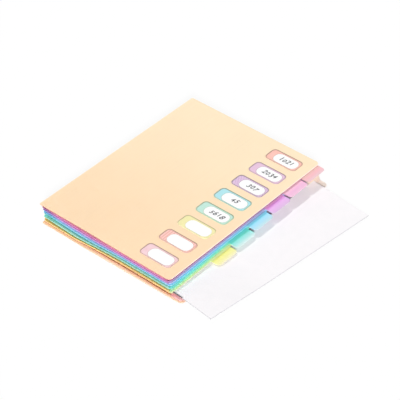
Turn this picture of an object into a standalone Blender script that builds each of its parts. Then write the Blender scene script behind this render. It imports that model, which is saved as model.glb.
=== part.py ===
# Expanding file folder with eight pockets, lying flat with its front cover up.
# Metres, +Z up. X runs from the spine to the open mouth, Y along the spine.
# The origin is on the back cover's underside, midway along the stack that lies on it.

import math

import bmesh
import bpy
from mathutils import Vector

# The A4 sheet that the pockets are made for.
SHEET_WIDTH = 0.2100
SHEET_LENGTH = 0.2970
SHEET_THICKNESS = 0.00025

# Covers: stiff polypropylene board, larger than the sheet by these allowances.
COVER_WIDTH = SHEET_WIDTH + 0.0248
COVER_LENGTH = SHEET_LENGTH + 0.0190
COVER_THICKNESS = 0.0008
COVER_MOUTH_RADIUS = 0.0070
COVER_SPINE_RADIUS = 0.0030

# The back cover is wider, to guard the tabs, and lies slightly askew under the stack.
BACK_COVER_SPINE_EXTRA = 0.0030
BACK_COVER_MOUTH_EXTRA = 0.0117
BACK_COVER_DRIFT = 0.0040
BACK_COVER_TURN = 0.0122

# Pockets, from the front cover down: the height that each stands open at rest.
# The outer ones lie almost shut, and the film's own spring holds the middle ones open.
POCKET_GAPS = [0.0013, 0.0014, 0.0024, 0.0032, 0.0039, 0.0039, 0.0039, 0.0022]
POCKETS = len(POCKET_GAPS)
SEAT_GAP = 0.0003

# Dividers: thinner film, set in from the covers' spine and mouth edges.
DIVIDER_THICKNESS = 0.0004
DIVIDER_SPINE_INSET = 0.0032
DIVIDER_MOUTH_INSET = 0.0028
DIVIDER_END_INSET = 0.0005
DIVIDER_MOUTH_RADIUS = 0.0060
DIVIDER_SPINE_RADIUS = 0.0010

# The stack leans: each sheet lies this much nearer the spine than the one below it.
LEAN_PER_SHEET = 0.00095

# Tabs: one for each divider, in equal steps along the mouth from just under its upper end.
TAB_REACH = 0.0145
TAB_END_MARGIN = 0.0030
TAB_SIDE_GAP = 0.0002
TAB_RADIUS = 0.0055
TAB_ROOT_RADIUS = 0.0015

# Labels stuck on the front cover in a column beside the mouth, one for each pocket.
LABEL_WIDTH = 0.0530
LABEL_THICKNESS = 0.00015
LABEL_RADIUS = 0.0065
LABEL_SPACING = 0.0123
LABEL_MOUTH_MARGIN = 0.0155
LABEL_END_MARGIN = 0.0088

# Pleats of thin film close the two ends and the spine of each pocket.
PLEAT_THICKNESS = 0.00025
PLEAT_EDGE_INSET = 0.0005
PLEAT_FLANGE = 0.0009
PLEAT_SLOPE = 0.0020
END_PLEAT_DEPTH = 0.0100
SPINE_PLEAT_DEPTH = 0.0060
PLEAT_FOLD_SLOT = 0.00010
PLEAT_CORNER_GAP = 0.0008
PLEAT_MOUTH_INSET = 0.0040

# The sheet lies in the last pocket but one, pulled out askew as far as the pocket lets it turn.
SHEET_POCKET = POCKETS - 1
SHEET_SHOWS = 0.0740
SHEET_END_CLEARANCE = 0.0006
SHEET_RAISED = 0.0015

ARC_STEPS = 6
UP_X = Vector((1.0, 0.0, 0.0))
UP_Y = Vector((0.0, 1.0, 0.0))

COLOURS = {
    "peach": (0.98, 0.78, 0.55),
    "coral_pink": (0.97, 0.50, 0.52),
    "pink": (0.96, 0.50, 0.74),
    "orchid": (0.74, 0.44, 0.84),
    "sky_blue": (0.30, 0.68, 0.92),
    "teal": (0.22, 0.76, 0.66),
    "yellow": (0.93, 0.88, 0.38),
    "coral": (0.96, 0.50, 0.32),
    "rose": (0.96, 0.54, 0.56),
}
PAPER_WHITE = (0.93, 0.93, 0.94)
DIVIDER_COLOURS = [
    "coral_pink", "pink", "orchid", "sky_blue", "teal", "yellow", "coral", "rose",
]
FILM_ROUGHNESS = 0.38
PAPER_ROUGHNESS = 0.85


def clear_scene():
    for found in list(bpy.data.objects):
        bpy.data.objects.remove(found, do_unlink=True)


def make_collection(name):
    collection = bpy.data.collections.new(name)
    bpy.context.scene.collection.children.link(collection)
    return collection


def make_material(name, colour, roughness):
    material = bpy.data.materials.new(name)
    material.use_nodes = True
    shader = material.node_tree.nodes["Principled BSDF"]
    shader.inputs["Base Color"].default_value = (*colour, 1.0)
    shader.inputs["Roughness"].default_value = roughness
    shader.inputs["Metallic"].default_value = 0.0
    return material


def pocket_gap(pocket):
    """Clear height inside a pocket, counted from 1 at the front cover."""
    return POCKET_GAPS[pocket - 1]


def divider_bottom(number):
    """Height of a divider's underside; the last one lies on the back cover."""
    height = COVER_THICKNESS + SEAT_GAP
    for pocket in range(POCKETS, number, -1):
        height += DIVIDER_THICKNESS + pocket_gap(pocket)
    return height


def divider_top(number):
    return divider_bottom(number) + DIVIDER_THICKNESS


def divider_colour(number):
    return DIVIDER_COLOURS[(number - 1) % len(DIVIDER_COLOURS)]


def divider_half_length():
    return COVER_LENGTH / 2 - DIVIDER_END_INSET


def front_cover_bottom():
    return divider_top(1) + pocket_gap(1)


def sheet_shift(layer):
    """How far the lean has moved a layer, counted from the back cover's level."""
    return -LEAN_PER_SHEET * (POCKETS + 1 - layer)


def divider_spine_x(number):
    return -COVER_WIDTH / 2 + DIVIDER_SPINE_INSET + sheet_shift(number)


def divider_mouth_x(number):
    return COVER_WIDTH / 2 - DIVIDER_MOUTH_INSET + sheet_shift(number)


def pocket_floor_and_ceiling(pocket):
    """The two heights between which a pocket lies."""
    floor = divider_top(pocket)
    return floor, floor + pocket_gap(pocket)


def rounded_outline(corners):
    """Points of an outline whose corners (x, y, radius) are rounded by arcs."""
    points = []
    count = len(corners)
    for index, (x, y, radius) in enumerate(corners):
        here = Vector((x, y))
        before = (Vector(corners[index - 1][:2]) - here).normalized()
        after = (Vector(corners[(index + 1) % count][:2]) - here).normalized()
        if radius == 0.0:
            points.append(here)
            continue
        half_angle = before.angle(after) / 2
        middle = here + (before + after).normalized() * radius / math.sin(half_angle)
        start = here + before * radius / math.tan(half_angle) - middle
        sweep = start.angle_signed(here + after * radius / math.tan(half_angle) - middle)
        for step in range(ARC_STEPS + 1):
            turn = -sweep * step / ARC_STEPS
            cos_turn, sin_turn = math.cos(turn), math.sin(turn)
            points.append(middle + Vector((
                start.x * cos_turn - start.y * sin_turn,
                start.x * sin_turn + start.y * cos_turn,
            )))
    return points


def add_flat_piece(name, collection, material, corners, bottom, thickness):
    """A flat plate: a filled outline, given its thickness, with its underside at a height."""
    curve = bpy.data.curves.new(name, "CURVE")
    curve.dimensions = "2D"
    curve.fill_mode = "BOTH"
    curve.extrude = thickness / 2
    outline = rounded_outline(corners)
    spline = curve.splines.new("POLY")
    spline.points.add(len(outline) - 1)
    for point, place in zip(spline.points, outline):
        point.co = (place.x, place.y, 0.0, 1.0)
    spline.use_cyclic_u = True
    curve.materials.append(material)
    plate = bpy.data.objects.new(name, curve)
    plate.location = (0.0, 0.0, bottom + thickness / 2)
    collection.objects.link(plate)
    return plate


def front_cover_corners():
    low_x = -COVER_WIDTH / 2 + sheet_shift(0)
    high_x = COVER_WIDTH / 2 + sheet_shift(0)
    half = COVER_LENGTH / 2
    return [
        (low_x, -half, COVER_SPINE_RADIUS),
        (high_x, -half, COVER_MOUTH_RADIUS),
        (high_x, half, COVER_MOUTH_RADIUS),
        (low_x, half, COVER_SPINE_RADIUS),
    ]


def back_cover_corners():
    low_x = -COVER_WIDTH / 2 - BACK_COVER_SPINE_EXTRA
    high_x = COVER_WIDTH / 2 + BACK_COVER_MOUTH_EXTRA
    middle = Vector(((low_x + high_x) / 2, -BACK_COVER_DRIFT, 0.0))
    along = Vector((math.cos(BACK_COVER_TURN), math.sin(BACK_COVER_TURN), 0.0))
    across = Vector((-along.y, along.x, 0.0))
    corners = []
    for side, end, radius in (
        (-1, -1, COVER_SPINE_RADIUS), (1, -1, COVER_MOUTH_RADIUS),
        (1, 1, COVER_MOUTH_RADIUS), (-1, 1, COVER_SPINE_RADIUS),
    ):
        place = middle + along * side * (high_x - low_x) / 2 + across * end * COVER_LENGTH / 2
        corners.append((place.x, place.y, radius))
    return corners


def tab_span(number):
    """Lowest and highest Y of a divider's tab; tab 1 is at the top."""
    step = (2 * divider_half_length() - TAB_END_MARGIN) / POCKETS
    high = divider_half_length() - TAB_END_MARGIN - (number - 1) * step
    return high - step, high


def divider_corners(number):
    low_x = divider_spine_x(number)
    high_x = divider_mouth_x(number)
    half = divider_half_length()
    tab_low, tab_high = tab_span(number)
    corners = [(low_x, -half, DIVIDER_SPINE_RADIUS)]
    if number == POCKETS:
        corners.append((high_x + TAB_REACH, -half, TAB_RADIUS))
    else:
        corners.append((high_x, -half, DIVIDER_MOUTH_RADIUS))
        corners.append((high_x, tab_low + TAB_SIDE_GAP, TAB_ROOT_RADIUS))
        corners.append((high_x + TAB_REACH, tab_low + TAB_SIDE_GAP, TAB_RADIUS))
    corners.append((high_x + TAB_REACH, tab_high - TAB_SIDE_GAP, TAB_RADIUS))
    corners.append((high_x, tab_high - TAB_SIDE_GAP, TAB_ROOT_RADIUS))
    end_radius = TAB_END_MARGIN / 3 if number == 1 else DIVIDER_MOUTH_RADIUS
    corners.append((high_x, half, end_radius))
    corners.append((low_x, half, DIVIDER_SPINE_RADIUS))
    return corners


def label_corners(number):
    high_x = COVER_WIDTH / 2 + sheet_shift(0) - LABEL_MOUTH_MARGIN
    low_x = high_x - LABEL_WIDTH
    pitch = (COVER_LENGTH - 2 * LABEL_END_MARGIN) / POCKETS
    middle_y = ((POCKETS + 1) / 2 - number) * pitch
    low_y = middle_y - (pitch - LABEL_SPACING) / 2
    high_y = middle_y + (pitch - LABEL_SPACING) / 2
    return [
        (low_x, low_y, LABEL_RADIUS),
        (high_x, low_y, LABEL_RADIUS),
        (high_x, high_y, LABEL_RADIUS),
        (low_x, high_y, LABEL_RADIUS),
    ]


def hinge_origin(pocket):
    """A pocket opens about the spine edge of the divider under it, at mid height."""
    floor, ceiling = pocket_floor_and_ceiling(pocket)
    return Vector((divider_spine_x(pocket), 0.0, (floor + ceiling) / 2))


def pleat_profile(pocket, depth):
    """Middle line of a folded pleat, as (inward, height) points from its upper flange."""
    floor, ceiling = pocket_floor_and_ceiling(pocket)
    middle = (floor + ceiling) / 2
    flange_low = floor + SEAT_GAP + PLEAT_THICKNESS / 2
    flange_high = ceiling - SEAT_GAP - PLEAT_THICKNESS / 2
    half_fold = (PLEAT_THICKNESS + PLEAT_FOLD_SLOT) / 2
    flange_end = PLEAT_EDGE_INSET + PLEAT_FLANGE
    leg_start = flange_end + PLEAT_SLOPE
    crease = depth - half_fold
    return [
        (PLEAT_EDGE_INSET, flange_high),
        (flange_end, flange_high),
        (leg_start, middle + half_fold),
        (crease, middle + half_fold),
        (depth, middle),
        (crease, middle - half_fold),
        (leg_start, middle - half_fold),
        (flange_end, flange_low),
        (PLEAT_EDGE_INSET, flange_low),
    ]


def add_pleat(name, collection, material, profile, start, inward, run):
    """A pleat: its profile swept along the edge that it closes, then thickened."""
    mesh = bpy.data.meshes.new(name)
    shape = bmesh.new()
    row = []
    for reach, height in profile:
        place = start + inward * reach
        row.append(shape.verts.new((place.x, place.y, height)))
    edges = [shape.edges.new(pair) for pair in zip(row, row[1:])]
    swept = bmesh.ops.extrude_edge_only(shape, edges=edges)
    moved = [item for item in swept["geom"] if isinstance(item, bmesh.types.BMVert)]
    bmesh.ops.translate(shape, verts=moved, vec=run)
    bmesh.ops.recalc_face_normals(shape, faces=shape.faces)
    shape.to_mesh(mesh)
    shape.free()
    mesh.materials.append(material)
    pleat = bpy.data.objects.new(name, mesh)
    collection.objects.link(pleat)
    wall = pleat.modifiers.new("film", "SOLIDIFY")
    wall.thickness = PLEAT_THICKNESS
    wall.offset = 0.0
    wall.use_even_offset = True
    return pleat


def end_pleat_mouth_x(pocket):
    """Where a pocket's end pleats stop, short of the edge of the sheet above them."""
    return divider_mouth_x(pocket - 1) - PLEAT_MOUTH_INSET


def add_end_pleats(collection, pocket, material):
    """The two pleats that close a pocket at its lower and upper ends."""
    low_x = divider_spine_x(pocket) + SPINE_PLEAT_DEPTH + PLEAT_THICKNESS + PLEAT_CORNER_GAP
    high_x = end_pleat_mouth_x(pocket)
    half = divider_half_length()
    profile = pleat_profile(pocket, END_PLEAT_DEPTH)
    run = UP_X * (high_x - low_x)
    bottom = Vector((low_x, -half, 0.0))
    top = Vector((low_x, half, 0.0))
    return [
        add_pleat(f"bottom_gusset_{pocket}", collection, material, profile, bottom, UP_Y, run),
        add_pleat(f"top_gusset_{pocket}", collection, material, profile, top, -UP_Y, run),
    ]


def add_spine_pleat(collection, pocket, material):
    """The pleat that closes a pocket along the spine."""
    half = divider_half_length() - DIVIDER_SPINE_RADIUS - PLEAT_CORNER_GAP
    start = Vector((divider_spine_x(pocket), -half, 0.0))
    profile = pleat_profile(pocket, SPINE_PLEAT_DEPTH)
    run = UP_Y * 2 * half
    return add_pleat(f"spine_fold_{pocket}", collection, material, profile, start, UP_X, run)


def hang(piece, pivot, place):
    """Let a pivot that stands at a place carry a piece, leaving the piece where it is."""
    piece.parent = pivot
    piece.location -= place


def add_pivots(collection):
    """One empty on each pocket's hinge axis, each carried by the one below it."""
    pivots = {}
    for pocket in range(POCKETS, 0, -1):
        pivot = bpy.data.objects.new(f"pocket_{pocket}_hinge", None)
        pivot.location = hinge_origin(pocket)
        collection.objects.link(pivot)
        if pocket < POCKETS:
            hang(pivot, pivots[pocket + 1], hinge_origin(pocket + 1))
        pivots[pocket] = pivot
    return pivots


def sheet_placement():
    """The sheet's outer lower corner and the way that it pulls out.

    It is turned until its hidden upper corner meets the pocket's upper pleat: the corner
    rises by hidden * turn and falls by SHEET_LENGTH * turn ** 2 / 2, and has this much play.
    """
    margin = PLEAT_EDGE_INSET + PLEAT_FLANGE + SHEET_END_CLEARANCE
    play = 2 * (divider_half_length() - margin) - SHEET_LENGTH - SHEET_RAISED
    hidden = SHEET_WIDTH - SHEET_SHOWS
    turn = (hidden - math.sqrt(hidden ** 2 - 2 * SHEET_LENGTH * play)) / SHEET_LENGTH
    pull = Vector((math.cos(turn), -math.sin(turn), 0.0))
    low_y = margin + SHEET_RAISED - divider_half_length()
    way_out = Vector((end_pleat_mouth_x(SHEET_POCKET), low_y, 0.0))
    return way_out + pull * SHEET_SHOWS, pull


def add_document_sheet(collection, material):
    corner, pull = sheet_placement()
    along = Vector((-pull.y, pull.x, 0.0))
    inner = corner - pull * SHEET_WIDTH
    outline = [inner, corner, corner + along * SHEET_LENGTH, inner + along * SHEET_LENGTH]
    corners = [(place.x, place.y, 0.0) for place in outline]
    bottom = divider_top(SHEET_POCKET) + SEAT_GAP
    return add_flat_piece("document_sheet", collection, material, corners, bottom, SHEET_THICKNESS)


def build():
    clear_scene()
    parts = make_collection("expanding_file_folder")
    film = {name: make_material(name, colour, FILM_ROUGHNESS) for name, colour in COLOURS.items()}
    paper = make_material("paper", PAPER_WHITE, PAPER_ROUGHNESS)
    pivots = add_pivots(parts)

    add_flat_piece("back_cover", parts, film["peach"], back_cover_corners(), 0.0, COVER_THICKNESS)
    for number in range(1, POCKETS + 1):
        colour = film[divider_colour(number)]
        pieces = add_end_pleats(parts, number, colour)
        pieces.append(add_spine_pleat(parts, number, colour))
        pieces.append(add_flat_piece(
            f"divider_{number}", parts, colour, divider_corners(number),
            divider_bottom(number), DIVIDER_THICKNESS,
        ))
        if number < POCKETS:
            for piece in pieces:
                hang(piece, pivots[number + 1], hinge_origin(number + 1))

    lid = [add_flat_piece(
        "front_cover", parts, film["peach"], front_cover_corners(), front_cover_bottom(), COVER_THICKNESS,
    )]
    label_bottom = front_cover_bottom() + COVER_THICKNESS + SEAT_GAP
    for number in range(1, POCKETS + 1):
        lid.append(add_flat_piece(
            f"label_{number}", parts, film[divider_colour(number)], label_corners(number),
            label_bottom, LABEL_THICKNESS,
        ))
    for piece in lid:
        hang(piece, pivots[1], hinge_origin(1))

    sheet = add_document_sheet(parts, paper)
    hang(sheet, pivots[SHEET_POCKET + 1], hinge_origin(SHEET_POCKET + 1))


build()
print(f"stack height {1000 * (front_cover_bottom() + COVER_THICKNESS):.2f} mm")
for pocket in range(1, POCKETS + 1):
    hinge = hinge_origin(pocket)
    print(f"pocket {pocket} hinge x {hinge.x:.5f} z {hinge.z:.5f}, gap {1000 * pocket_gap(pocket):.2f} mm")
sheet_corner, sheet_pull = sheet_placement()
print(f"sheet corner {sheet_corner.x:.4f} {sheet_corner.y:.4f}, pull {sheet_pull.x:.5f} {sheet_pull.y:.5f}")
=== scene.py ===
import math

import bmesh
import bpy
from mathutils import Matrix, Vector


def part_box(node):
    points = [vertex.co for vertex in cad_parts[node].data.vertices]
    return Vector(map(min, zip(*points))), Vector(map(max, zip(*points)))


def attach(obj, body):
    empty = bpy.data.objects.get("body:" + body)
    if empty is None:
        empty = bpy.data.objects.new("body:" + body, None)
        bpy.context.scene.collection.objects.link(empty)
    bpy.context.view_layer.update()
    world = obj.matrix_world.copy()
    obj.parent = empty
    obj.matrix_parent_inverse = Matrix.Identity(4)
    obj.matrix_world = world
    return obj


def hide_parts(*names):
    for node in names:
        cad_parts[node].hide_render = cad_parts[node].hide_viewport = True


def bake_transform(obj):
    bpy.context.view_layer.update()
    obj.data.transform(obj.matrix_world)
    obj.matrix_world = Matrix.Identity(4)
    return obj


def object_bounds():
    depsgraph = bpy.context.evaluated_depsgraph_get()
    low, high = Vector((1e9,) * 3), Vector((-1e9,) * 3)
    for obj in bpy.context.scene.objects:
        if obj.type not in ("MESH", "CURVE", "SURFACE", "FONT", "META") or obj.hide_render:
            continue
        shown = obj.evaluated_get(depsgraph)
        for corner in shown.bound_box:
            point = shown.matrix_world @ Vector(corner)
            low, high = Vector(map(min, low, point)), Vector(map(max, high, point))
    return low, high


# Expanding file folder lying flat, front cover up, a sheet of paper half out of one pocket.
# Metres, +Z up. X runs from the spine to the open mouth, Y along the spine.

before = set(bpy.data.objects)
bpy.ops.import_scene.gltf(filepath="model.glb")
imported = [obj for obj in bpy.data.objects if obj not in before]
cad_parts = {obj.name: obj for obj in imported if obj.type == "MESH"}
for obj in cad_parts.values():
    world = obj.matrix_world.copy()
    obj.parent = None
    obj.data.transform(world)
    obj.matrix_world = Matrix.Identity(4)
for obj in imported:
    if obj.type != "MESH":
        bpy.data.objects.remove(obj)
cadLow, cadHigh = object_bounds()
pocketCount = 8
backLayer = pocketCount + 1  # layers: 0 is the front cover, 1 to 8 the dividers, 9 the back cover


def layerNode(layer):
    return {0: "front_cover", backLayer: "back_cover"}.get(layer, f"divider_{layer}")


def layerBody(layer):
    return "lid" if layer == 0 else "base" if layer >= pocketCount else f"leaf_{layer}"


# colour and node helpers

noiseMiddle = (0.3, 0.7)    # nearly all of a noise texture lies between these
noiseCore = (0.35, 0.65)    # the same with more contrast


def toLinear(hexCode):
    parts = [int(hexCode[start:start + 2], 16) / 255 for start in (1, 3, 5)]
    return [part / 12.92 if part <= 0.04045 else ((part + 0.055) / 1.055) ** 2.4 for part in parts] + [1.0]


def addNode(tree, kind, settings):
    # a setting is a property or a socket; a socket takes a value, a hex colour or another node's output
    node = tree.nodes.new(kind)
    for name, value in settings.items():
        if isinstance(value, str) and value.startswith("#"):
            value = toLinear(value)
        if isinstance(value, bpy.types.NodeSocket):
            tree.links.new(value, node.inputs[name])
        elif isinstance(name, str) and hasattr(node, name):
            setattr(node, name, value)
        else:
            node.inputs[name].default_value = value
    return node


def newMaterial(name):
    # the material, its node tree and the place on the piece, for its patterns
    material = bpy.data.materials.new(name)
    material.use_nodes = True
    tree = material.node_tree
    tree.nodes.clear()
    return material, tree, addNode(tree, "ShaderNodeTexCoord", {}).outputs["Object"]


def noiseAt(tree, spot, spacing, detail=2.0, stretch=(1.0, 1.0, 1.0)):
    scale = [share / spacing for share in stretch]
    place = addNode(tree, "ShaderNodeMapping", {"Vector": spot, "Scale": scale}).outputs[0]
    noise = addNode(tree, "ShaderNodeTexNoise", {"Vector": place, "Scale": 1.0, "Detail": detail})
    return noise.outputs["Fac"]


def blendAlong(tree, value, limits, first, second, most=1.0, interpolation="LINEAR"):
    # from the first colour at one limit of the value to the second, or to a share of it, most, at the other
    share = addNode(tree, "ShaderNodeMapRange", {
        0: value, 1: limits[0], 2: limits[1], 4: most, "interpolation_type": interpolation,
    }).outputs[0]
    return addNode(tree, "ShaderNodeMix", {"data_type": "RGBA", 0: share, 6: first, 7: second}).outputs[2]


def blendStops(tree, value, stops):
    colour = stops[0][1]
    for (before, _), (place, hexCode) in zip(stops, stops[1:]):
        colour = blendAlong(tree, value, (before, place), colour, hexCode, interpolation="SMOOTHSTEP")
    return colour


def joinedShares(tree, operation, first, second, interpolation="LINEAR"):
    # first and second are a value and the two places between which its share goes from 0 to 1
    joined = {"operation": operation}
    for socket, (value, start, end) in enumerate((first, second)):
        settings = {0: value, 1: start, 2: end, "interpolation_type": interpolation}
        joined[socket] = addNode(tree, "ShaderNodeMapRange", settings).outputs[0]
    return addNode(tree, "ShaderNodeMath", joined).outputs[0]


def twoNoises(tree, first, second):
    # both in equal parts, from 0 to 1
    shares = []
    for noise in (first, second):
        settings = {0: noise, 1: noiseMiddle[0], 2: noiseMiddle[1]}
        shares.append(addNode(tree, "ShaderNodeMapRange", settings).outputs[0])
    settings = {"data_type": "RGBA", 0: 0.5, 6: shares[0], 7: shares[1]}
    return addNode(tree, "ShaderNodeMix", settings).outputs[2]


def clouded(tree, colour, noise, limits, darkest):
    # the colour, and a little darker where the noise is low
    tint = blendAlong(tree, noise, limits, darkest, "#FFFFFF")
    settings = {"data_type": "RGBA", "blend_type": "MULTIPLY", 0: 1.0, 6: colour, 7: tint}
    return addNode(tree, "ShaderNodeMix", settings).outputs[2]


def finishSurface(tree, settings):
    shader = addNode(tree, "ShaderNodeBsdfPrincipled", settings).outputs[0]
    addNode(tree, "ShaderNodeOutputMaterial", {"Surface": shader})


# extruded polypropylene film, the stuff of covers, dividers and folds

film = {
    "ior": 1.49,
    "roughness": (0.56, 0.70),          # where the frost is low, where it is high
    "mottleSpacing": 0.045,             # slow clouding from the sheet's cooling
    "streakSpacing": 0.0016,            # draw lines of the extruder, 1.6 mm apart
    "streakStretch": (1.0, 0.02, 1.0),  # they run along Y
    "clouded": "#FBFBFB",               # where clouding and draw lines are darkest
    "frostSpacing": 0.0011,             # matt emboss, drawn at 1.1 mm as the real 0.1 mm can't show
    "frostDepth": 0.00003,
    "frostStrength": 0.35,
    "glow": 0.25,                       # share of the light that goes into the milky film and comes back
    "glowDepth": 0.0012,
    "paintedEdgeHighlight": "#FFF3E8",              # painted highlight: a pale strip along a die-cut edge
    "paintedEdgeHighlightWidth": 0.0016,
}
dieCut = {
    "nickSpacing": 0.0007,
    "nicked": "#F3F3F3",                # where the nicks are darkest
    "roughness": 0.6,
    "coverRun": 0.002,                  # from the lower end's colour to the mouth's
    "dividerRun": 0.004,
}


def frostedFilm(name, dyeAndPaintedLight, *settings):
    # matt polypropylene film: pastel dye with the painted light and shade that the dye function adds, faint
    # clouding and a frosted glint
    material, tree, spot = newMaterial(name)
    mottle = noiseAt(tree, spot, film["mottleSpacing"])
    streak = noiseAt(tree, spot, film["streakSpacing"], 1.0, film["streakStretch"])
    frost = noiseAt(tree, spot, film["frostSpacing"], 3.0)
    colourAndPaintedLight = dyeAndPaintedLight(tree, spot, *settings)
    colour = clouded(tree, colourAndPaintedLight, twoNoises(tree, mottle, streak), (0.0, 1.0), film["clouded"])
    emboss = {"Height": frost, "Strength": film["frostStrength"], "Distance": film["frostDepth"]}
    matt = dict(enumerate((frost, *noiseMiddle, *film["roughness"])))
    finishSurface(tree, {
        "Base Color": colour, "IOR": film["ior"],
        "Roughness": addNode(tree, "ShaderNodeMapRange", matt).outputs[0],
        "Normal": addNode(tree, "ShaderNodeBump", emboss).outputs[0],
        "Subsurface Weight": film["glow"], "Subsurface Scale": film["glowDepth"],
        "Subsurface Radius": (1.0, 1.0, 1.0),
    })
    return material


def cutEdge(name, stops):
    # the dull look of a die-cut edge, its colour given along X: painted light and shade, each stretch of
    # edge coloured after how it is lit
    material, tree, spot = newMaterial(name)
    nicks = noiseAt(tree, spot, dieCut["nickSpacing"])
    colourAndPaintedLight = blendStops(tree, addNode(tree, "ShaderNodeSeparateXYZ", {0: spot}).outputs["X"], stops)
    colour = clouded(tree, colourAndPaintedLight, nicks, noiseCore, dieCut["nicked"])
    finishSurface(tree, {"Base Color": colour, "IOR": film["ior"], "Roughness": dieCut["roughness"]})
    return material


coverColours = {  # film along Y, cut edge at the lower end, cut edge at the mouth, all three with painted light and shade
    # the front cover's film is painted lighter towards its upper end, for how the light falls on it
    0: (((-0.158, "#FFDDB8"), (0.158, "#FFE7C5")), "#D89A8A", "#FFE8E2"),
    # the back cover's film is painted darker just beside the stack's lower end, the stack's shade, and
    # lighter towards its upper end
    backLayer: (
        (
            (-0.1630, "#FBE6D6"), (-0.1605, "#F8DCC4"), (-0.1575, "#EEC2A0"), (-0.150, "#FAD4C0"),
            (0.158, "#FFF2E6"),
        ),
        "#F8DECE", "#F9D6BE",
    ),
}
backSpineShade = {  # painted tan shade on the back cover towards the spine, where the stack beside it shades it
    "start": 0.010, "end": -0.050, "share": 0.6, "tint": "#E6B680",
}


def coverDyeAndPaintedLight(tree, spot, stops, low, high, isFront):
    place = addNode(tree, "ShaderNodeSeparateXYZ", {0: spot}).outputs
    colour = blendStops(tree, place["Y"], stops)
    if not isFront:
        # the back cover: painted tan shade towards its spine
        limits = (backSpineShade["start"], backSpineShade["end"])
        return blendAlong(tree, place["X"], limits, colour, backSpineShade["tint"], backSpineShade["share"])
    # a painted highlight: a pale strip along the front cover's spine and mouth edges
    width = film["paintedEdgeHighlightWidth"]
    sides = (place["X"], low.x + width, low.x), (place["X"], high.x - width, high.x)
    rim = joinedShares(tree, "MAXIMUM", *sides)
    settings = {"data_type": "RGBA", 0: rim, 6: colour, 7: film["paintedEdgeHighlight"]}
    return addNode(tree, "ShaderNodeMix", settings).outputs[2]


dividerColours = {
    # tab: colours along it from its root, 0 at the end of the folds and 1 at its outer edge; painted deeper
    # at the root, the shade of the sheets above, and paler towards the tip, where light comes through
    # mouth: inside and rim of the strip that shows beside the tab, painted shade inside; cut: at the lower
    # end and at the mouth, each painted after how it is lit
    # fold: inside and rim of the folds, the inside a painted shade; corner: the folds' colour at the spine,
    # where they lie double, with painted shade
    1: {
        "tab": (
            (0.20, "#E2A0A6"), (0.32, "#EBBFB9"), (0.45, "#ECBDBC"), (0.60, "#F4BDC3"), (1.05, "#EAC7CE"),
        ),
        "mouth": ("#AF5C82", "#C06D8E"), "cut": ("#D17F98", "#FFD9DA"),
        "fold": ("#80394D", "#B5667A"), "corner": "#7A3A5C", "slot": "film_coral_pink",
    },
    2: {
        "tab": (
            (0.22, "#E6B5BF"), (0.31, "#EBBED1"), (0.40, "#FBC3DD"), (0.60, "#F2BCDC"), (1.05, "#F2C6DD"),
        ),
        "mouth": ("#8A4177", "#A76098"), "cut": ("#EE92BF", "#FFD3EA"),
        "fold": ("#AF5688", "#DA7DAA"), "corner": "#6E3A70", "slot": "film_pink",
    },
    3: {
        "tab": (
            (0.12, "#FAAFE0"), (0.30, "#E99FEB"), (0.41, "#E0A2E5"), (0.54, "#E9B8EE"), (1.05, "#DCBAE2"),
        ),
        "mouth": ("#C6B4E8", "#B4CDF8"), "cut": ("#DAACE2", "#F0CFF5"),
        "fold": ("#AB5BA2", "#CD9CD3"), "corner": "#7462A4", "slot": "film_orchid",
    },
    4: {
        "tab": (
            (0.06, "#9EA5CA"), (0.26, "#97E6FB"), (0.36, "#89DDF3"), (0.52, "#A9E2FA"), (1.05, "#C3E2EB"),
        ),
        "mouth": ("#A3D5FC", "#8CEAFC"), "cut": ("#A8DEF0", "#CDEFFD"),
        "fold": ("#949FD2", "#9FCFEB"), "corner": "#5A9EC4", "slot": "film_sky_blue",
    },
    5: {
        "tab": (
            (0.01, "#6CCDC4"), (0.12, "#74E7DF"), (0.34, "#7AE4D0"), (0.54, "#9DE3DD"), (1.05, "#D9F0EE"),
        ),
        "mouth": ("#8AF0EE", "#9FF8CD"), "cut": ("#C9ECCD", "#CCF3E6"),
        "fold": ("#54A6A9", "#ADDBC5"), "corner": "#60B4A4", "slot": "film_teal",
    },
    6: {
        "tab": (
            (0.05, "#D2EAA2"), (0.20, "#FDFDC3"), (0.37, "#FDF28D"), (0.62, "#F9F09E"), (1.05, "#F7EFC8"),
        ),
        "mouth": ("#BCFAC4", "#F4FDC0"), "cut": ("#FDDA97", "#FBF3C4"),
        "fold": ("#85894D", "#CBB674"), "corner": "#AE9450", "slot": "film_yellow",
    },
    7: {
        "tab": (
            (0.25, "#FDB88C"), (0.40, "#FDC4A0"), (0.70, "#FDD0B2"), (1.05, "#FDDCC8"),
        ),
        "mouth": ("#ECF4C4", "#FDF0D5"), "cut": ("#FDD39C", "#FFDCC4"),
        "fold": ("#DCA76A", "#FAC78F"), "corner": "#D8A868", "slot": "film_coral",
    },
    8: {
        "tab": (
            (0.25, "#FDB4B6"), (0.55, "#FDC0C2"), (0.80, "#FEC6C8"), (1.05, "#FECED0"),
        ),
        "mouth": ("#FDD1C0", "#FDCDC6"), "cut": ("#FDD1B9", "#FDCBCB"),
        "fold": ("#9C5829", "#BB814C"), "corner": "#C89858", "slot": "film_rose",
    },
}
mouthStrip = {  # a divider where it shows beside its tab
    "stops": (-0.35, 0.02, 0.25),           # own colour, inside and rim, 0 and 1 as for the tab; inside and rim are painted shade and light, tinted by the film above
    "pastTab": (0.003, 0.007, "#A49AAA"),   # in the shade past its own tab: from there, to there, tint
    "upperEnd": (0.033, 0.025, "#FFEADC"),  # painted light, paler at the upper end: from there, to there, tint
    "tabBlend": 0.0015,                     # the tab's colour fades out this far past its ends
    "tabTip": 0.006,                        # the tab alone reaches this last stretch
}
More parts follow.
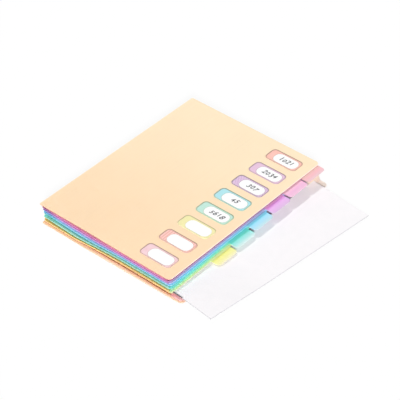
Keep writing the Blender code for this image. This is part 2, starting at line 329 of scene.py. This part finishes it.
foldLook = {
    "seen": (0.15, 0.80),       # rim and inside, as shares of the depth in view; the inside colour is a painted shade
    "viewDepth": 0.904,         # that depth for each height of the gap
    "leastGap": 0.0006,
    # an end fold lies double where the spine fold runs into it, and is painted darker there with the shade
    # of the corner
    "doubleFilmAndShade": (0.029, 0.012),   # from there to there, measured from the spine
    "doubleFilmAndShadeRim": 0.5,           # how much of the colour at the spine shows there, for double film and painted shade
    "doubleFilmAndShadeInside": 0.9,
    "shadedTo": 4,              # down to this divider the edges are in the front cover's shade there
}


def dividerDyeAndPaintedLight(tree, spot, colours, foldEnd, tabEnd, tabLow, tabHigh):
    # painted light and shade: the strip at the mouth is painted darker inside, tinted by the film above it
    # and shaded past its own tab; the tab is painted saturated at its root, in the shade of the sheets
    # above, and paler at its tip
    place = addNode(tree, "ShaderNodeSeparateXYZ", {0: spot}).outputs
    reach = tabEnd - foldEnd
    settings = {0: place["X"], 1: foldEnd - reach, 2: tabEnd + reach, 3: -1.0, 4: 2.0}
    share = addNode(tree, "ShaderNodeMapRange", settings).outputs[0]
    own = colours["tab"][2][1]  # the third colour of the tab is the divider's own
    strip = blendStops(tree, share, list(zip(mouthStrip["stops"], (own, *colours["mouth"]))))
    start, end, tint = mouthStrip["pastTab"]
    strip = blendAlong(tree, place["Y"], (tabHigh + start, tabHigh + end), strip, tint)
    start, end, tint = mouthStrip["upperEnd"]
    strip = blendAlong(tree, place["Y"], (cadHigh.y - start, cadHigh.y - end), strip, tint)
    tab = blendStops(tree, share, ((mouthStrip["stops"][0], own), *colours["tab"]))
    blend = mouthStrip["tabBlend"]
    ends = (place["Y"], tabLow - blend, tabLow + blend), (place["Y"], tabHigh + blend, tabHigh - blend)
    settings = {"data_type": "RGBA", 0: joinedShares(tree, "MINIMUM", *ends), 6: strip, 7: tab}
    return addNode(tree, "ShaderNodeMix", settings).outputs[2]


def foldDyeAndPaintedShade(tree, spot, colours, spineX=None):
    # painted shade, deeper inside the fold; the spine's own folds, without spineX, lie single, get no
    # painted corner shade and are painted lighter, from the lower end's cut colour to the folds' rim colour
    depth = addNode(tree, "ShaderNodeAttribute", {"attribute_name": "foldDepth"}).outputs["Fac"]
    tones = colours["cut"][0], colours["fold"][1]
    if spineX is not None:
        x = addNode(tree, "ShaderNodeSeparateXYZ", {0: spot}).outputs["X"]
        limits = [spineX + place for place in foldLook["doubleFilmAndShade"]]
        inside, rim = colours["fold"]
        tones = [blendAlong(tree, x, limits, tone, colours["corner"], most)
                 for tone, most in ((rim, foldLook["doubleFilmAndShadeRim"]), (inside, foldLook["doubleFilmAndShadeInside"]))]
    return blendAlong(tree, depth, foldLook["seen"], *tones, interpolation="SMOOTHSTEP")


# how the soft stack lies: sag of each layer at rest

stackWave = {  # millimetres down
    "stations": [-120, -100, -80, -60, -40, -20, 0, 20, 60, 110],  # millimetres along X
    "lowEnd": {
        0: [0.0, -0.2, -0.4, -0.6, -0.7, -0.6, -0.3, -0.1, 0.0, 0.0],
        1: [0.0, 0.0, 0.0, 0.0, 0.1, 0.2, 0.1, 0.0, 0.0, 0.0],
        2: [0.0, 0.1, 0.5, 1.1, 1.4, 1.3, 0.9, 0.3, 0.1, 0.1],
        3: [0.3, 0.8, 1.6, 2.3, 2.6, 2.3, 1.5, 1.1, 1.1, 0.8],
        4: [1.5, 2.2, 3.3, 4.0, 4.4, 3.9, 2.2, 1.3, 0.6, 0.4],
        5: [3.3, 3.9, 4.7, 5.4, 5.0, 3.9, 2.7, 1.8, 1.5, 1.6],
        6: [4.6, 4.8, 4.8, 4.9, 3.3, 2.6, 2.1, 1.6, 1.3, 1.6],
        7: [1.2, 1.4, 1.4, 1.3, -0.4, -0.85, -0.9, -0.9, -0.9, -0.9],
    },
    "lean": {  # millimetres out of the lower end
        5: [0.9, 1.2, 1.4, 1.5, 1.0, 0.3, 0.1, 0.0, 0.0, 0.0],
        6: [1.2, 1.5, 1.7, 2.0, 1.7, 1.0, 0.4, 0.0, 0.0, 0.0],
        7: [1.2, 1.5, 1.7, 2.0, 1.7, 1.0, 0.4, 0.0, 0.0, 0.0],
        8: [0.5, 0.6, 0.8, 1.0, 0.8, 0.5, 0.2, 0.0, 0.0, 0.0],
        9: [-1.1, -1.1, -0.8, -0.4, 0.0, 0.0, 0.0, 0.0, 0.0, 0.0],
    },
    "far": [0.0, 0.0, 0.3, 0.6, 0.9, 1.2, 0.9, 0.5, 0.0, 0.0],  # the dip of layers 0 to 9 at the upper end
    "farX": 0.030, "farWidth": 0.045,  # metres, its middle and width
    "fade": 0.110,  # metres, how far in from an end the sag fades
}


def smoothStep(value, start, end):
    share = min(1.0, max(0.0, (value - start) / (end - start)))
    return share * share * (3 - 2 * share)


def bellAt(x, middle, width):
    return math.exp(-((x - middle) / width) ** 2 / 2)


def alongStack(table, layer, x):
    values = stackWave[table].get(layer)
    if not values:
        return 0.0
    places = [station / 1000 for station in stackWave["stations"]]
    found = values[0]
    for start, end, before, after in zip(places, places[1:], values, values[1:]):
        if x > start:
            found = before + (after - before) * smoothStep(x, start, end)
    return found


def nearEnd(distance):
    # 1 at an end of the stack, 0 past the length over which its sag fades
    return 1.0 - smoothStep(distance, 0.0, stackWave["fade"])


def sagAt(layer, x, y):
    # the lower end of the stack sags in a long wave, the upper end in one dip
    low = nearEnd(y - cadLow.y) * alongStack("lowEnd", layer, x)
    dip = stackWave["far"][layer] * bellAt(x, stackWave["farX"], stackWave["farWidth"])
    return -(low + nearEnd(cadHigh.y - y) * dip) / 1000


def leanAt(layer, x, y):
    return -nearEnd(y - cadLow.y) * alongStack("lean", layer, x) / 1000


def shiftAt(layer, spot):
    return Vector((0.0, leanAt(layer, spot.x, spot.y), sagAt(layer, spot.x, spot.y)))


# flat film: covers and dividers

plate = {
    "gridX": 0.009, "gridY": 0.012,     # cuts that let it bend
    "rimRound": 0.00012, "rimSteps": 2,
    "rimAngle": 60, "sharpAngle": 12, "flatAngle": 1,  # degrees
    "levelNormal": 0.8,                 # faces steeper than this belong to the cut edge
    "mergeDistance": 1e-6,
}


def gridCuts(low, high, pitch):
    count = max(1, round((high - low) / pitch))
    return [low + (high - low) * step / count for step in range(1, count)]


def cutInGrid(shape, low, high):
    for axis, pitch in ((0, plate["gridX"]), (1, plate["gridY"])):
        normal = [1.0 if axis == 0 else 0.0, 1.0 if axis == 1 else 0.0, 0.0]
        for place in gridCuts(low[axis], high[axis], pitch):
            whole = shape.verts[:] + shape.edges[:] + shape.faces[:]
            bmesh.ops.bisect_plane(shape, geom=whole, plane_co=[place * n for n in normal], plane_no=normal)


def copyOfNode(nodeName):
    shape = bmesh.new()
    shape.from_mesh(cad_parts[nodeName].data)
    bmesh.ops.remove_doubles(shape, verts=shape.verts, dist=plate["mergeDistance"])
    flat = math.radians(plate["flatAngle"])
    bmesh.ops.dissolve_limit(shape, angle_limit=flat, verts=shape.verts, edges=shape.edges)
    return shape


def roundRim(shape):
    rim = [edge for edge in shape.edges if edge.calc_face_angle(0.0) > math.radians(plate["rimAngle"])
           and any(abs(face.normal.z) > plate["levelNormal"] for face in edge.link_faces)]
    bmesh.ops.bevel(shape, geom=rim, offset=plate["rimRound"], segments=plate["rimSteps"], profile=0.5,
                    affect="EDGES", material=-1)


def markEdge(shape):
    # the first material on level faces, the second on the cut edge
    shape.normal_update()
    for face in shape.faces:
        face.material_index = 0 if abs(face.normal.z) > plate["levelNormal"] else 1


def meshPiece(name, shape, materials):
    for edge in shape.edges:
        edge.smooth = edge.calc_face_angle(0.0) < math.radians(plate["sharpAngle"])
    for face in shape.faces:
        face.smooth = True
    mesh = bpy.data.meshes.new(name)
    shape.to_mesh(mesh)
    shape.free()
    for material in materials:
        mesh.materials.append(material)
    piece = bpy.data.objects.new(name, mesh)
    bpy.context.scene.collection.objects.link(piece)
    return piece


def filmPlate(name, layer, materials):
    nodeName = layerNode(layer)
    shape = copyOfNode(nodeName)
    roundRim(shape)
    cutInGrid(shape, *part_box(nodeName))
    for vert in shape.verts:
        vert.co += shiftAt(layer, vert.co)
    markEdge(shape)
    piece = meshPiece(name, shape, materials)
    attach(piece, layerBody(layer))
    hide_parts(nodeName)


for layer, (stops, lowerCut, mouthCut) in coverColours.items():
    low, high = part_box(layerNode(layer))
    run = dieCut["coverRun"]
    peach = frostedFilm(f"frostedPolypropylenePeach{layer}", coverDyeAndPaintedLight, stops, low, high, layer == 0)
    # the cut edge's colours at the ends and at the spine and mouth are painted apart, after how each side is
    # lit
    cutStops = (
        (low.x, mouthCut), (low.x + run, lowerCut), (high.x - run, lowerCut), (high.x, mouthCut),
    )
    edge = cutEdge(f"dieCutEdge{layer}", cutStops)
    filmPlate(f"film_{layerNode(layer)}", layer, [peach, edge])

foldMaterials = {}
for layer, colours in dividerColours.items():
    low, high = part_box(layerNode(layer))
    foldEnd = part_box(f"bottom_gusset_{layer}")[1].x
    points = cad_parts[layerNode(layer)].data.vertices
    tabYs = [vert.co.y for vert in points if vert.co.x > high.x - mouthStrip["tabTip"]]
    divider = frostedFilm(
        f"frostedPolypropyleneDivider{layer}", dividerDyeAndPaintedLight, colours, foldEnd, high.x, min(tabYs), max(tabYs),
    )
    lowerCut, mouthCut = colours["cut"]
    doubleFilmAndShadeEnd, doubleFilmAndShadeStart = (low.x + place for place in foldLook["doubleFilmAndShade"])
    # the cut edge's colours are painted: the corner's shade by the spine for dividers down to shadedTo, the
    # lower end's colour, then the paler mouth colour past the folds
    cutStops = (
        (doubleFilmAndShadeStart, colours["corner"] if layer <= foldLook["shadedTo"] else lowerCut),
        (doubleFilmAndShadeEnd, lowerCut), (foldEnd, lowerCut), (foldEnd + dieCut["dividerRun"], mouthCut),
    )
    edge = cutEdge(f"dieCutEdge{layer}", cutStops)
    filmPlate(f"film_divider_{layer}", layer, [divider, edge])
    foldMaterials[layer, False] = frostedFilm(f"foldedPolypropylene{layer}", foldDyeAndPaintedShade, colours, low.x)
    foldMaterials[layer, True] = frostedFilm(f"foldedPolypropyleneSpine{layer}", foldDyeAndPaintedShade, colours)
print("covers and dividers are made")


# folded film that closes the ends and the spine of each pocket

fold = {
    "endDepth": 0.0100, "spineDepth": 0.0060, "inset": 0.0003, "thickness": 0.00018,
    "cornerRadius": 0.0010, "mitreRun": 0.0080, "cornerStart": 0.0004,
    # half of its section, as shares of the depth and of the gap's height
    "line": [(0.0, 0.0), (0.12, 0.01), (0.30, 0.09), (0.60, 0.28), (0.85, 0.43), (1.0, 0.5)],
    "stations": [0.0, 0.0006, 0.0014, 0.0024, 0.0038, 0.0056, 0.0080, 0.0120],
    "pitch": 0.0080,
    "flangeLift": 0.00011,
}


def foldStations(length, bothEnds):
    # distances along the fold: close together at a rounded corner, then even
    near = [place for place in fold["stations"] if place < length / 2]
    last = length - near[-1] if bothEnds else length
    count = max(1, round((last - near[-1]) / fold["pitch"]))
    places = near + [near[-1] + (last - near[-1]) * step / count for step in range(1, count + 1)]
    if bothEnds:
        places += [length - place for place in reversed(near[:-1])]
    return places


def foldSection(shape, corner, floor, ceiling):
    # the edges of the V in section, each point with its share of the depth
    lift = fold["flangeLift"]
    line = [(share, floor + lift + (ceiling - floor - 2 * lift) * height) for share, height in fold["line"]]
    line += [(share, floor + ceiling - z) for share, z in reversed(line[:-1])]
    depthLayer = shape.verts.layers.float.new("foldDepth")
    row = []
    for share, z in line:
        row.append(shape.verts.new((corner.x, corner.y, z)))
        row[-1][depthLayer] = share
    return depthLayer, [shape.edges.new(pair) for pair in zip(row, row[1:])]


def sagWithSheets(piece, pocket, floor, ceiling, depth):
    # each point follows the two sheets by its share of the gap
    depths = piece.data.attributes["foldDepth"].data
    for vert in piece.data.vertices:
        share = (vert.co.z - floor) / (ceiling - floor)
        low, high = (shiftAt(layer, vert.co) for layer in (pocket, pocket - 1))
        vert.co += low.lerp(high, share)
        gap = max(foldLook["leastGap"], ceiling + high.z - floor - low.z)
        depths[vert.index].value *= depth / (foldLook["viewDepth"] * gap)  # now a share of the depth in view


def foldedFilm(name, pocket, corner, inward, along, length, depth, bothEnds, nodeName):
    floor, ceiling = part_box(layerNode(pocket))[1].z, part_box(layerNode(pocket - 1))[0].z
    shape = bmesh.new()
    depthLayer, edges = foldSection(shape, corner, floor, ceiling)
    places = foldStations(length, bothEnds)
    for before, after in zip(places, places[1:]):
        swept = bmesh.ops.extrude_edge_only(shape, edges=edges)["geom"]
        moved = [item for item in swept if isinstance(item, bmesh.types.BMVert)]
        edges = [item for item in swept if isinstance(item, bmesh.types.BMEdge)
                 and all(vert in moved for vert in item.verts)]
        bmesh.ops.translate(shape, verts=moved, vec=along * (after - before))
    radius = fold["cornerRadius"]
    for vert in shape.verts:
        run = (vert.co - corner).dot(along) + fold["cornerStart"]
        if bothEnds:
            run = min(run, length + 2 * fold["cornerStart"] - run)
        short = max(0.0, radius - run)
        inset = fold["inset"] + radius - math.sqrt(radius ** 2 - short ** 2)
        reach = (depth - inset) * min(1.0, run / fold["mitreRun"])
        vert.co += inward * (inset + reach * vert[depthLayer])
    bmesh.ops.recalc_face_normals(shape, faces=shape.faces)
    piece = meshPiece(name, shape, [foldMaterials[pocket, bothEnds]])
    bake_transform(piece)
    sagWithSheets(piece, pocket, floor, ceiling, depth)
    wall = piece.modifiers.new("wall", "SOLIDIFY")
    wall.thickness = fold["thickness"]
    wall.offset = 0.0
    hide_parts(nodeName)


for pocket in range(1, pocketCount + 1):
    low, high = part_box(f"divider_{pocket}")
    start = low + Vector((fold["cornerStart"], fold["cornerStart"], 0.0))
    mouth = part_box(f"bottom_gusset_{pocket}")[1].x
    for side, y, inward in (("bottom", low.y, 1.0), ("top", high.y, -1.0)):
        foldedFilm(
            f"fold_{side}_{pocket}", pocket, Vector((start.x, y, 0.0)), Vector((0.0, inward, 0.0)),
            Vector((1.0, 0.0, 0.0)), mouth - start.x, fold["endDepth"], False, f"{side}_gusset_{pocket}",
        )
    spineLength = high.y - low.y - 2 * fold["cornerStart"]
    foldedFilm(
        f"fold_spine_{pocket}", pocket, Vector((low.x, start.y, 0.0)), Vector((1.0, 0.0, 0.0)),
        Vector((0.0, 1.0, 0.0)), spineLength, fold["spineDepth"], True, f"spine_fold_{pocket}",
    )
print("folds are made")


# labels stuck on the front cover, with numbers written on five of them

label = {
    "radius": 0.0065, "ring": 0.0018, "arcSteps": 7, "thickness": 0.00015,
    "fieldSize": (0.0390, 0.0190), "fieldRadius": 0.0082, "fieldFromMouth": 0.0033, "fieldDrift": -0.0006,
    "fieldRing": 0.0006, "white": "#FDFDFD",
}
labelPaper = {
    "ior": 1.47, "roughness": (0.42, 0.52),
    "grainSpacing": 0.0009, "grainDepth": 0.00002, "grainStrength": 0.2,
    "grained": "#F8F8F8",       # where the grain is darkest
    "printSpacing": 0.008,      # unevenness of a plain print
}
labelPatterns = {  # node, its unit of length, settings, output, limits of the printed part
    "dots": ("ShaderNodeTexVoronoi", 0.0032, {"Scale": 1.0, "Randomness": 0.0}, "Distance", (0.26, 0.20)),
    "check": ("ShaderNodeTexChecker", 0.0016, {"Scale": 1.0}, "Fac", (0.0, 1.0)),
    "stripes": ("ShaderNodeTexWave", 0.0240, {"Scale": 2.0}, "Fac", (0.0, 1.0)),
}
labelColours = {  # outline, block, pattern's second tone, pattern, slot
    1: ("#D0A292", "#F8BAAB", "#FFCFC6", "plain", "film_coral_pink"),
    2: ("#C2A2B4", "#E7C4DC", "#F6DBF2", "dots", "film_pink"),
    3: ("#B098AA", "#C8A9CB", "#F0D2EE", "check", "film_orchid"),
    4: ("#9CC0B4", "#B3E6EE", "#C6EAEC", "dots", "film_sky_blue"),
    5: ("#AECAAE", "#B9E1D1", "#CBEFE4", "plain", "film_teal"),
    6: ("#E6DEAA", "#F4ECB0", "#FBF4C4", "dots", "film_yellow"),
    7: ("#DCB0A0", "#EFB0A4", "#FFD2CC", "stripes", "film_coral"),
    8: ("#D6B2AA", "#EEC1C7", "#FBDDE3", "plain", "film_rose"),
}


def printAt(tree, spot, pattern):
    # where the second tone is printed, and the limits between which it sets in
    if pattern not in labelPatterns:
        return noiseAt(tree, spot, labelPaper["printSpacing"], 1.0), (0.0, 1.0)
    kind, spacing, settings, output, limits = labelPatterns[pattern]
    place = addNode(tree, "ShaderNodeMapping", {"Vector": spot, "Scale": [1 / spacing] * 3}).outputs[0]
    return addNode(tree, kind, {"Vector": place, **settings}).outputs[output], limits


def printedFilm(name, colour, second=None, pattern="plain"):
    # coated label paper: printed colour with a soft sheen, small plain pattern
    material, tree, spot = newMaterial(name)
    if second:
        colour = blendAlong(tree, *printAt(tree, spot, pattern), colour, second)
    grain = noiseAt(tree, spot, labelPaper["grainSpacing"])
    press = {"Height": grain, "Strength": labelPaper["grainStrength"], "Distance": labelPaper["grainDepth"]}
    sheen = dict(enumerate((grain, *noiseMiddle, *labelPaper["roughness"])))
    finishSurface(tree, {
        "Base Color": clouded(tree, colour, grain, noiseMiddle, labelPaper["grained"]),
        "IOR": labelPaper["ior"],
        "Roughness": addNode(tree, "ShaderNodeMapRange", sheen).outputs[0],
        "Normal": addNode(tree, "ShaderNodeBump", press).outputs[0],
    })
    return material


def fieldOf(number):
    # lower and upper corner of the white window that is written on
    low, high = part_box(f"label_{number}")
    width, height = label["fieldSize"]
    right = high.x - label["fieldFromMouth"]
    middle = (low.y + high.y) / 2 + label["fieldDrift"]
    return Vector((right - width, middle - height / 2)), Vector((right, middle + height / 2))


def roundedLoop(shape, low, high, radius, z):
    # points of a rounded rectangle, the same number for each radius
    points = []
    for corner, (sideX, sideY) in enumerate(((1, 1), (-1, 1), (-1, -1), (1, -1))):
        x = (high[0] if sideX > 0 else low[0]) - sideX * radius
        y = (high[1] if sideY > 0 else low[1]) - sideY * radius
        for step in range(label["arcSteps"] + 1):
            turn = math.pi / 2 * (corner + step / label["arcSteps"])
            points.append(shape.verts.new((x + radius * math.cos(turn), y + radius * math.sin(turn), z)))
    return points


def wallBetween(shape, outer, inner, materialIndex):
    count = len(outer)
    for place in range(count):
        after = (place + 1) % count
        face = shape.faces.new((outer[place], outer[after], inner[after], inner[place]))
        face.material_index = materialIndex


def stickLabel(number, whitePaper):
    outline, block, second, pattern, slotName = labelColours[number]
    low, high = (corner.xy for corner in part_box(f"label_{number}"))
    fieldLow, fieldHigh = fieldOf(number)
    ring = Vector((label["ring"], label["ring"]))
    fieldRing = Vector((label["fieldRing"], label["fieldRing"]))
    base, top = coverTop, coverTop + label["thickness"]
    shape = bmesh.new()
    under = roundedLoop(shape, low, high, label["radius"], base)
    rim = roundedLoop(shape, low, high, label["radius"], top)
    inside = roundedLoop(shape, low + ring, high - ring, label["radius"] - label["ring"], top)
    fieldRim = roundedLoop(shape, fieldLow - fieldRing, fieldHigh + fieldRing,
                           label["fieldRadius"] + label["fieldRing"], top)
    field = roundedLoop(shape, fieldLow, fieldHigh, label["fieldRadius"], top)
    wallBetween(shape, under, rim, 0)
    wallBetween(shape, rim, inside, 0)
    wallBetween(shape, inside, fieldRim, 1)
    wallBetween(shape, fieldRim, field, 0)
    shape.faces.new(field).material_index = 2
    shape.faces.new(reversed(under))
    for vert in shape.verts:
        vert.co.z += sagAt(0, vert.co.x, vert.co.y)
    materials = [
        printedFilm(f"labelOutline{number}", outline),
        printedFilm(f"labelBlock{number}", block, second, pattern),
        whitePaper,
    ]
    piece = meshPiece(f"sticker_{number}", shape, materials)
    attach(piece, "lid")
    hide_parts(f"label_{number}")


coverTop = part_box("front_cover")[1].z
whitePaper = printedFilm("labelPaperWhite", label["white"])
for number in range(1, pocketCount + 1):
    stickLabel(number, whitePaper)
print("labels are made")


# the sheet of paper

paper = {
    "layer": 7, "clear": 0.00006,           # the divider that it lies on, and its height over it
    "lift": 0.0016, "liftFrom": 0.106, "liftTo": 0.135,  # curl of the free lower corner, along X
    "ior": 1.4, "roughness": 0.75,
    "cloudSpacing": 0.012, "fibreSpacing": 0.0012, "fibreDepth": 0.00003, "fibreStrength": 0.25,
    # the grey cut edge and the grey trimmed rim are painted shade along the sheet's edges
    "shades": ("#F4F2F4", "#F9F6F8"), "cut": "#C4C2C8",
    "rim": 0.0018, "trimmed": "#D6D5D9",
    "shadowRimOverTab": 0.0040, "shadowOverTab": "#2A0008",  # painted shadow: dark along the sheet's edge where it lies over the rose tab
    "tabBlend": 0.001,
}


def rimOfSheet(tree, spot, corner, directions, width):
    # 1 on the two trimmed edges that meet at the sheet's free lower corner
    settings = {"operation": "SUBTRACT", 0: spot, 1: corner}
    turned = addNode(tree, "ShaderNodeVectorMath", settings).outputs[0]
    edges = []
    for direction in directions:
        settings = {"operation": "DOT_PRODUCT", 0: turned, 1: direction}
        edges.append((addNode(tree, "ShaderNodeVectorMath", settings).outputs["Value"], width, 0.0))
    return joinedShares(tree, "MAXIMUM", *edges, interpolation="SMOOTHSTEP")


def copierPaper(corner, directions):
    # uncoated 80 g paper: bright white, dead matt, faint clouding and fibre; painted grey shade along its
    # trimmed edges and a painted dark shadow where its edge lies over the rose tab
    material, tree, spot = newMaterial("copierPaper")
    cloud = noiseAt(tree, spot, paper["cloudSpacing"], 3.0)
    fibre = noiseAt(tree, spot, paper["fibreSpacing"], 3.0)
    colour = blendAlong(tree, twoNoises(tree, cloud, fibre), (0.0, 1.0), *paper["shades"])
    place = addNode(tree, "ShaderNodeSeparateXYZ", {0: spot}).outputs
    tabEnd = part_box(f"divider_{pocketCount}")[1].x
    # where the edge lies over the rose tab it is painted dark, the shadow between sheet and tab
    shadowOverTab = joinedShares(
        tree, "MULTIPLY", (place["X"], tabEnd + paper["tabBlend"], tabEnd - paper["tabBlend"]),
        (place["Y"], 0.0, cadLow.y / 2),
    )
    rims = []
    for width, tint in ((paper["rim"], paper["trimmed"]), (paper["shadowRimOverTab"], paper["shadowOverTab"])):
        rim = rimOfSheet(tree, spot, corner, directions, width)
        settings = {"data_type": "RGBA", 0: rim, 6: colour, 7: tint}
        rims.append(addNode(tree, "ShaderNodeMix", settings).outputs[2])
    settings = {"data_type": "RGBA", 0: shadowOverTab, 6: rims[0], 7: rims[1]}
    tooth = {"Height": fibre, "Strength": paper["fibreStrength"], "Distance": paper["fibreDepth"]}
    finishSurface(tree, {
        "Base Color": addNode(tree, "ShaderNodeMix", settings).outputs[2],
        "IOR": paper["ior"], "Roughness": paper["roughness"],
        "Normal": addNode(tree, "ShaderNodeBump", tooth).outputs[0],
    })
    return material


def layPaper():
    shape = copyOfNode("document_sheet")
    cutInGrid(shape, *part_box("document_sheet"))
    # it follows the divider that it lies on, and its free lower corner is curled up a little
    for vert in shape.verts:
        x, y = vert.co.x, vert.co.y
        curl = paper["lift"] * nearEnd(y - cadLow.y) * smoothStep(x, paper["liftFrom"], paper["liftTo"])
        vert.co.z += sagAt(paper["layer"], x, y) + paper["clear"] + curl
    corners = [vert.co.copy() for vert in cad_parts["document_sheet"].data.vertices]
    lowest = min(corners, key=lambda spot: spot.y)
    leftmost = min(corners, key=lambda spot: spot.x)
    rightmost = max(corners, key=lambda spot: spot.x)
    directions = [(corner - lowest).normalized() for corner in (leftmost, rightmost)]
    markEdge(shape)
    # the paper's cut edge is painted grey, a painted shade
    materials = [copierPaper(lowest, directions), cutEdge("cutPaperEdge", ((0.0, paper["cut"]),))]
    piece = meshPiece("paper_sheet", shape, materials)
    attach(piece, "sheet")
    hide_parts("document_sheet")


layPaper()
print("paper is laid")


# numbers written on the labels

writing = {
    "texts": {1: "1021", 2: "2034", 3: "307", 4: "45", 5: "5618"},
    "height": 0.0105, "slant": 0.28, "spacing": 0.0060,
    "thickness": 0.00003, "lift": 0.00002, "lineWeight": 0.015,
    "ink": ("#2E3033", "#54575B"), "flowSpacing": 0.0015, "roughness": 0.5,
    # the hand is uneven: how much, step for each digit, step for each label
    "size": (0.10, 3.1, 1), "turn": (0.10, 2.3, 2), "rise": (0.0006, 4.1, 1),
}


def inkMaterial():
    # gel pen: near-black with uneven flow
    material, tree, spot = newMaterial("gelPenInk")
    flow = noiseAt(tree, spot, writing["flowSpacing"])
    colour = blendAlong(tree, flow, noiseCore, *writing["ink"])
    finishSurface(tree, {"Base Color": colour, "Roughness": writing["roughness"]})
    return material


def unevenBy(kind, place, number):
    amount, perDigit, perLabel = writing[kind]
    return amount * math.sin(perDigit * place + perLabel * number)


def writeNumber(number, body, ink):
    middle = sum(fieldOf(number), Vector((0.0, 0.0))) / 2
    merged = bmesh.new()
    for place, digit in enumerate(body):
        curve = bpy.data.curves.new(f"digit_{number}_{place}", "FONT")
        curve.body = digit
        curve.size = writing["height"] * (1.0 + unevenBy("size", place, number))
        curve.shear = writing["slant"]
        curve.offset = writing["lineWeight"] * writing["height"]
        curve.extrude = writing["thickness"]
        curve.align_x, curve.align_y = "CENTER", "CENTER"
        glyph = bpy.data.objects.new(curve.name, curve)
        bpy.context.scene.collection.objects.link(glyph)
        bpy.context.view_layer.update()
        flat = bpy.data.meshes.new_from_object(glyph.evaluated_get(bpy.context.evaluated_depsgraph_get()))
        x = middle.x + (place - (len(body) - 1) / 2) * writing["spacing"]
        y = middle.y + unevenBy("rise", place, number)
        turn = Matrix.Rotation(unevenBy("turn", place, number), 4, "Z")
        flat.transform(Matrix.Translation((x, y, coverTop + label["thickness"] + writing["lift"])) @ turn)
        merged.from_mesh(flat)
        bpy.data.objects.remove(glyph)
        bpy.data.meshes.remove(flat)
    bmesh.ops.remove_doubles(merged, verts=merged.verts, dist=plate["mergeDistance"])
    for vert in merged.verts:
        vert.co.z += sagAt(0, vert.co.x, vert.co.y)
    piece = meshPiece(f"written_number_{number}", merged, [ink])
    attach(piece, "lid")


ink = inkMaterial()
for number, body in writing["texts"].items():
    writeNumber(number, body, ink)
print("numbers are written")


# camera, floor and light

view = {
    "location": (1.1586, -1.3225, 1.4797),
    "target": (0.0100, 0.017094, -0.0037),
    "lens": 150.27, "sensor": 36.0, "clip": (0.1, 20.0),
}
light = {
    "sky": 0.22,            # share of the light on a level surface, about 1 in all
    "floorShadow": 0.07,
    "lamps": {              # share, angular size in degrees, whether it glints, direction that it shines in
        "overheadSoftbox": (0.30, 6, True, (0.30, 0.0, -1.0)),
        "frontSoftbox": (0.530, 8, False, (-0.5690, 0.6643, -0.4848)),
    },
}
table = {"size": 6.0, "grainSpacing": 0.05, "shades": ("#FCFCFC", "#FEFEFE")}


def placeCamera():
    data = bpy.data.cameras.new("camera")
    data.sensor_width = view["sensor"]
    data.lens = view["lens"]
    data.clip_start, data.clip_end = view["clip"]
    camera = bpy.data.objects.new("camera", data)
    camera.location = view["location"]
    toTarget = Vector(view["target"]) - Vector(view["location"])
    camera.rotation_euler = toTarget.to_track_quat("-Z", "Y").to_euler()
    bpy.context.scene.collection.objects.link(camera)
    bpy.context.scene.camera = camera


def seenDirectly(tree):
    # 1 where the eye meets the surface, also by way of a reflection or through glass
    path = addNode(tree, "ShaderNodeLightPath", {}).outputs
    settings = {"operation": "MAXIMUM", 0: path["Is Camera Ray"], 1: path["Is Glossy Ray"]}
    seen = addNode(tree, "ShaderNodeMath", settings).outputs[0]
    settings = {"operation": "MAXIMUM", 0: seen, 1: path["Is Transmission Ray"]}
    return addNode(tree, "ShaderNodeMath", settings).outputs[0]


def lightScene():
    world = bpy.data.worlds.new("softStudio")
    bpy.context.scene.world = world
    world.use_nodes = True
    tree = world.node_tree
    tree.nodes.clear()
    settings = {0: seenDirectly(tree), 3: light["sky"], 4: 1.0}
    strength = addNode(tree, "ShaderNodeMapRange", settings).outputs[0]
    sky = addNode(tree, "ShaderNodeBackground", {"Color": "#FFFFFF", "Strength": strength}).outputs[0]
    addNode(tree, "ShaderNodeOutputWorld", {"Surface": sky})
    for name, (share, size, glints, shines) in light["lamps"].items():
        towards = Vector(shines).normalized()
        data = bpy.data.lights.new(name, "SUN")
        data.energy = share * math.pi / -towards.z
        data.angle = math.radians(size)
        lamp = bpy.data.objects.new(name, data)
        lamp.rotation_euler = towards.to_track_quat("-Z", "Y").to_euler()
        lamp.visible_glossy = glints
        bpy.context.scene.collection.objects.link(lamp)


def layFloor():
    # white laminate: even and matt, white to the eye apart from the shadow
    material, tree, spot = newMaterial("whiteTable")
    grain = noiseAt(tree, spot, table["grainSpacing"])
    colour = blendAlong(tree, grain, noiseMiddle, *table["shades"])
    matt = addNode(tree, "ShaderNodeBsdfDiffuse", {"Color": colour}).outputs[0]
    white = addNode(tree, "ShaderNodeEmission", {"Strength": 1.0}).outputs[0]
    settings = {0: seenDirectly(tree), 4: 1.0 - light["floorShadow"]}
    share = addNode(tree, "ShaderNodeMapRange", settings).outputs[0]
    both = addNode(tree, "ShaderNodeMixShader", {0: share, 1: matt, 2: white}).outputs[0]
    addNode(tree, "ShaderNodeOutputMaterial", {"Surface": both})
    shape = bmesh.new()
    bmesh.ops.create_grid(shape, x_segments=1, y_segments=1, size=table["size"])
    floor = meshPiece("white_table", shape, [material])
    floor.data.transform(Matrix.Translation((0.0, 0.0, cadLow.z)))


placeCamera()
lightScene()
layFloor()
bpy.context.scene.view_settings.view_transform = "Standard"
print("camera, floor and light are set")
